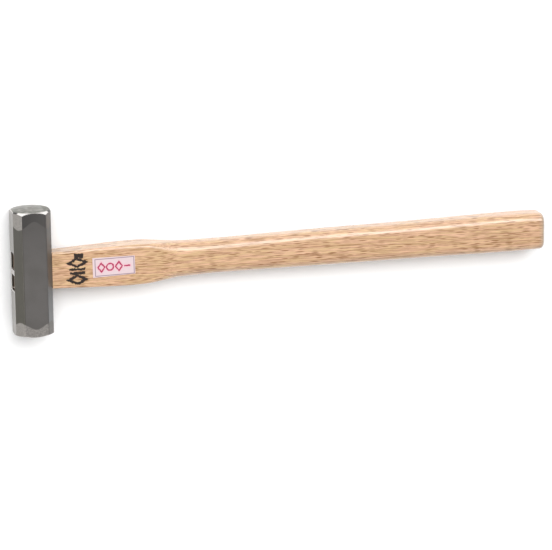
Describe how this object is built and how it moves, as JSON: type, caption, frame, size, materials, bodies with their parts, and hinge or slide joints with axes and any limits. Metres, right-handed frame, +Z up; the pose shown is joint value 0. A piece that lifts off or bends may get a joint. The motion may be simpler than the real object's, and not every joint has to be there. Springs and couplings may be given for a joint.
{
  "type": "carpenter's hammer",
  "caption": "Small Japanese carpenter's hammer: an octagonal steel head with a domed face and a flat face, wedged on a slim oak handle with a flat-sided neck and a rounded grip.",
  "frame": {"origin": "on the surface that the hammer lies on, under the middle of its bounding box", "axes": "+X along the handle from the head to the butt, +Y along the head towards its domed face, +Z up, out of the upper cheek of the head and the labelled side of the neck"},
  "size_m": [0.3224, 0.075, 0.0223],
  "materials": {
    "head_steel": "satin",
    "oak": "satin",
    "wedge_steel": "satin",
    "label_paper": "satin"
  },
  "bodies": {
    "root": {"hammer_head": "head_steel", "handle": "oak", "wedge": "wedge_steel", "label": "label_paper"}
  },
  "joints": []
}
